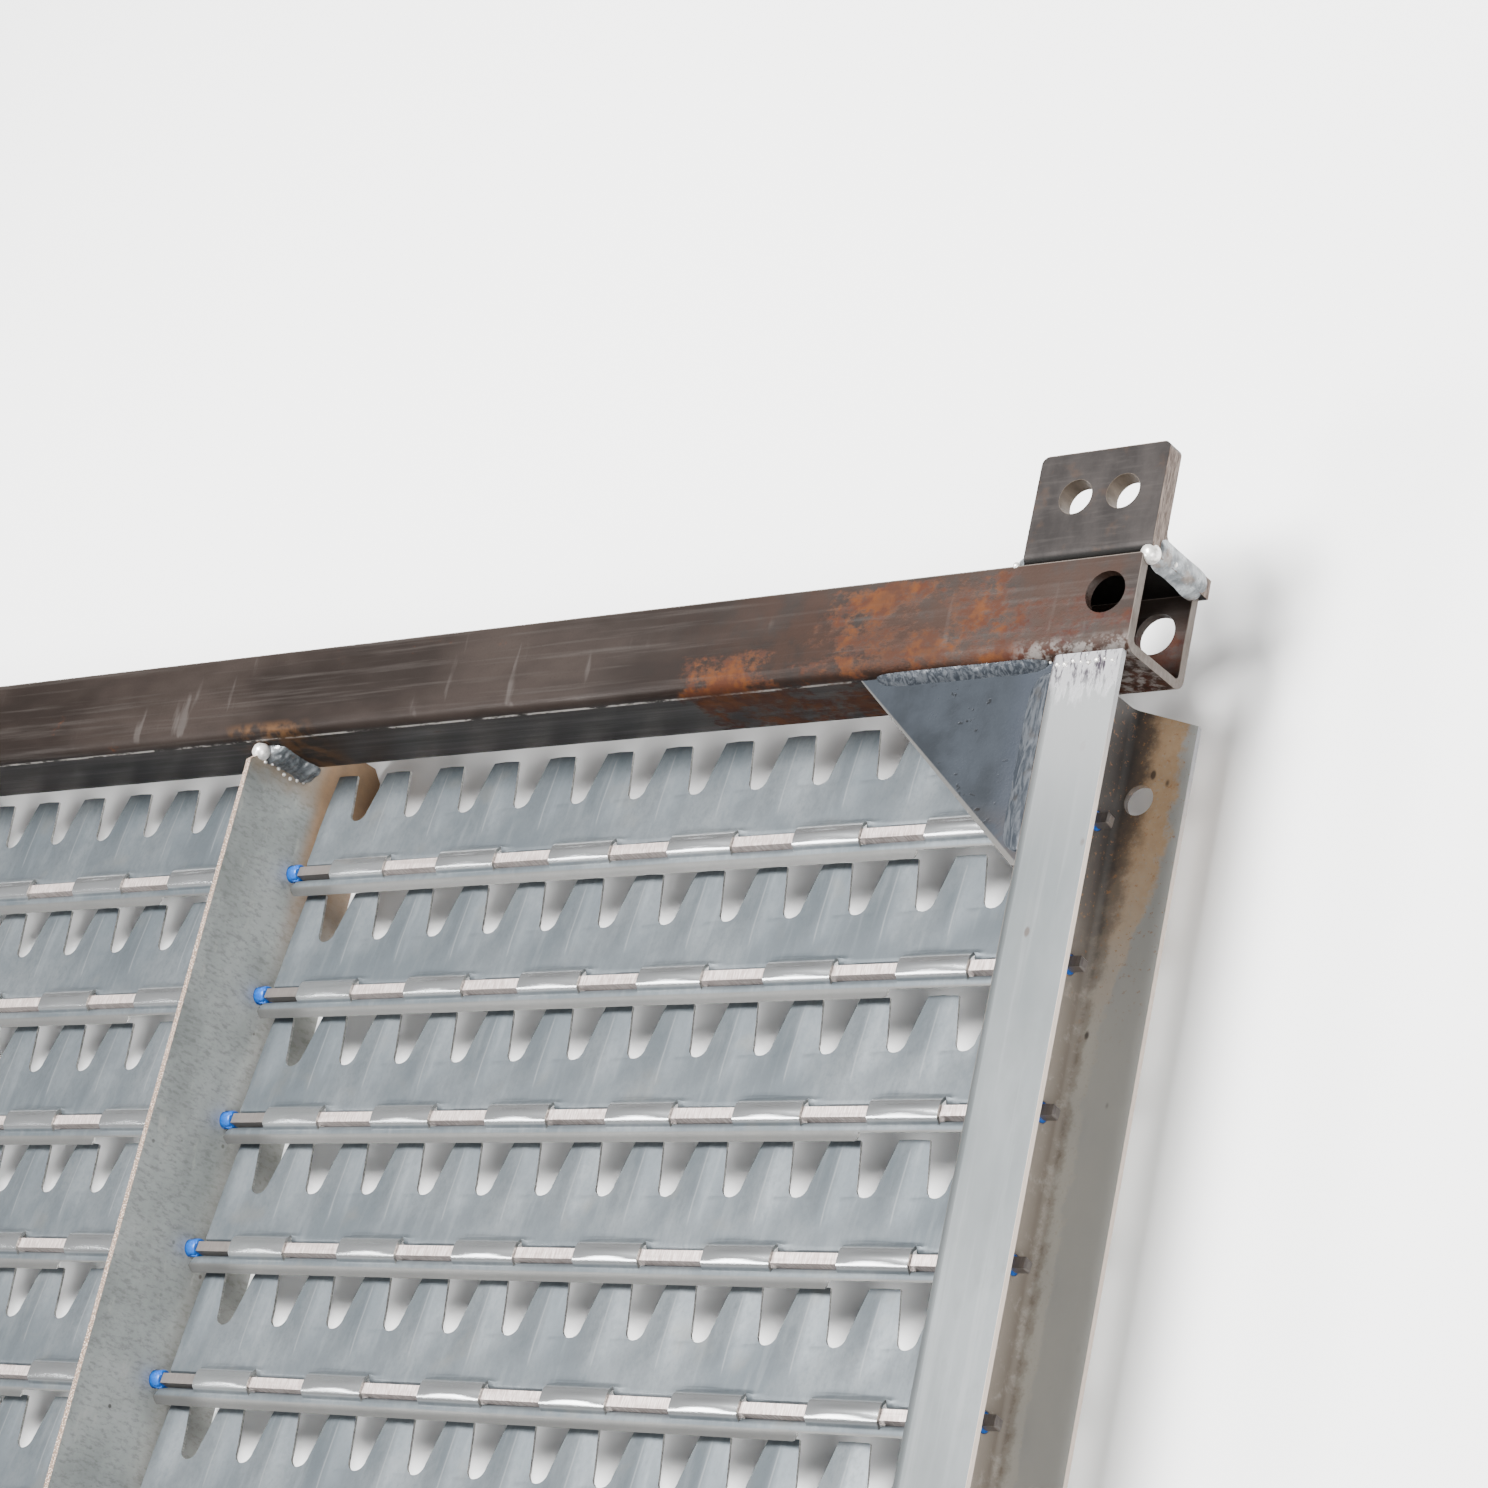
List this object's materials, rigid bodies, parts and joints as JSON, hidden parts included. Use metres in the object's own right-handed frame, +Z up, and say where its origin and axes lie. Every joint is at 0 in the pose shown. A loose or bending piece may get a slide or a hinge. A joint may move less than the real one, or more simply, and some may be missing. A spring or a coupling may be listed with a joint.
{
  "type": "adjustable louvre sieve",
  "caption": "Welded steel frame with tilting finger slats on square wires, set together by a notched sliding bar and a lever.",
  "frame": {"origin": "middle of the bounding box, on the plane of the dividers' lower edges", "axes": "+X across the sieve to its right, +Y to the front channel with the brackets, +Z up from the slat side to the wire side"},
  "size_m": [1.0126, 0.6335, 0.0625],
  "materials": {
    "mill_steel": "dark mill scale with rust patches",
    "gusset_steel": "blue-grey rolled plate",
    "galvanised": "matt galvanised sheet",
    "slat_steel": "satin galvanised sheet",
    "wire_steel": "drawn steel",
    "bar_steel": "zinc plated flat bar",
    "weld_metal": "weld bead",
    "zinc_plate": "zinc plated",
    "bush_plastic": "blue moulded plastic",
    "grip": "moulded sleeve"
  },
  "bodies": {
    "frame": {"front_channel": "mill_steel", "rear_channel": "mill_steel", "side_member_right": "galvanised", "side_member_left": "galvanised", "divider_left": "galvanised", "divider_right": "galvanised", "gusset_front_right": "gusset_steel", "gusset_front_left": "gusset_steel", "gusset_rear_right": "gusset_steel", "gusset_rear_left": "gusset_steel", "bracket_right": "mill_steel", "bracket_left": "mill_steel", "bracket_welds": "weld_metal", "gusset_welds": "weld_metal", "side_member_welds": "weld_metal", "divider_welds": "weld_metal", "guide_bolts": "zinc_plate", "guide_spacers": "zinc_plate", "guide_washers": "zinc_plate", "guide_nuts": "zinc_plate", "lever_pivot_stud": "zinc_plate", "lever_pivot_nut": "zinc_plate", "quadrant_plate": "gusset_steel"},
    "adjusting_bar": {"adjusting_bar": "bar_steel"},
    "lever": {"adjusting_lever": "bar_steel", "lever_grip": "grip", "lever_drive_pin": "zinc_plate", "clamp_bolt": "zinc_plate", "clamp_nut": "zinc_plate"},
    "row_01": {"slats_01": "slat_steel", "wire_01": "wire_steel", "bushes_01": "bush_plastic"},
    "row_02": {"slats_02": "slat_steel", "wire_02": "wire_steel", "bushes_02": "bush_plastic"},
    "row_03": {"slats_03": "slat_steel", "wire_03": "wire_steel", "bushes_03": "bush_plastic"},
    "row_04": {"slats_04": "slat_steel", "wire_04": "wire_steel", "bushes_04": "bush_plastic"},
    "row_05": {"slats_05": "slat_steel", "wire_05": "wire_steel", "bushes_05": "bush_plastic"},
    "row_06": {"slats_06": "slat_steel", "wire_06": "wire_steel", "bushes_06": "bush_plastic"},
    "row_07": {"slats_07": "slat_steel", "wire_07": "wire_steel", "bushes_07": "bush_plastic"},
    "row_08": {"slats_08": "slat_steel", "wire_08": "wire_steel", "bushes_08": "bush_plastic"},
    "row_09": {"slats_09": "slat_steel", "wire_09": "wire_steel", "bushes_09": "bush_plastic"},
    "row_10": {"slats_10": "slat_steel", "wire_10": "wire_steel", "bushes_10": "bush_plastic"}
  },
  "joints": [
    {"name": "bar_slide", "type": "slide", "parent": "frame", "child": "adjusting_bar", "axis": [0, 1, 0], "range_m": [0, 0.00538]},
    {"name": "lever_swing", "type": "hinge", "parent": "frame", "child": "lever", "pos_m": [-0.49255, -0.20925, 0.0295], "axis": [-1, 0, 0], "range_deg": [0, 17.12]},
    {"name": "row_01_tilt", "type": "hinge", "parent": "frame", "child": "row_01", "pos_m": [0, 0.21615, 0.02795], "axis": [-1, 0, 0], "range_deg": [0, 22.01]},
    {"name": "row_02_tilt", "type": "hinge", "parent": "frame", "child": "row_02", "pos_m": [0, 0.17255, 0.02795], "axis": [-1, 0, 0], "range_deg": [0, 22.01]},
    {"name": "row_03_tilt", "type": "hinge", "parent": "frame", "child": "row_03", "pos_m": [0, 0.12895, 0.02795], "axis": [-1, 0, 0], "range_deg": [0, 22.01]},
    {"name": "row_04_tilt", "type": "hinge", "parent": "frame", "child": "row_04", "pos_m": [0, 0.08535, 0.02795], "axis": [-1, 0, 0], "range_deg": [0, 22.01]},
    {"name": "row_05_tilt", "type": "hinge", "parent": "frame", "child": "row_05", "pos_m": [0, 0.04175, 0.02795], "axis": [-1, 0, 0], "range_deg": [0, 22.01]},
    {"name": "row_06_tilt", "type": "hinge", "parent": "frame", "child": "row_06", "pos_m": [0, -0.00185, 0.02795], "axis": [-1, 0, 0], "range_deg": [0, 22.01]},
    {"name": "row_07_tilt", "type": "hinge", "parent": "frame", "child": "row_07", "pos_m": [0, -0.04545, 0.02795], "axis": [-1, 0, 0], "range_deg": [0, 22.01]},
    {"name": "row_08_tilt", "type": "hinge", "parent": "frame", "child": "row_08", "pos_m": [0, -0.08905, 0.02795], "axis": [-1, 0, 0], "range_deg": [0, 22.01]},
    {"name": "row_09_tilt", "type": "hinge", "parent": "frame", "child": "row_09", "pos_m": [0, -0.13265, 0.02795], "axis": [-1, 0, 0], "range_deg": [0, 22.01]},
    {"name": "row_10_tilt", "type": "hinge", "parent": "frame", "child": "row_10", "pos_m": [0, -0.17625, 0.02795], "axis": [-1, 0, 0], "range_deg": [0, 22.01]}
  ],
  "couplings": [
    {"joint": "lever_swing", "follows": "bar_slide", "rad_per_m": 55.556},
    {"joint": "row_01_tilt", "follows": "bar_slide", "rad_per_m": 71.429},
    {"joint": "row_02_tilt", "follows": "bar_slide", "rad_per_m": 71.429},
    {"joint": "row_03_tilt", "follows": "bar_slide", "rad_per_m": 71.429},
    {"joint": "row_04_tilt", "follows": "bar_slide", "rad_per_m": 71.429},
    {"joint": "row_05_tilt", "follows": "bar_slide", "rad_per_m": 71.429},
    {"joint": "row_06_tilt", "follows": "bar_slide", "rad_per_m": 71.429},
    {"joint": "row_07_tilt", "follows": "bar_slide", "rad_per_m": 71.429},
    {"joint": "row_08_tilt", "follows": "bar_slide", "rad_per_m": 71.429},
    {"joint": "row_09_tilt", "follows": "bar_slide", "rad_per_m": 71.429},
    {"joint": "row_10_tilt", "follows": "bar_slide", "rad_per_m": 71.429}
  ]
}
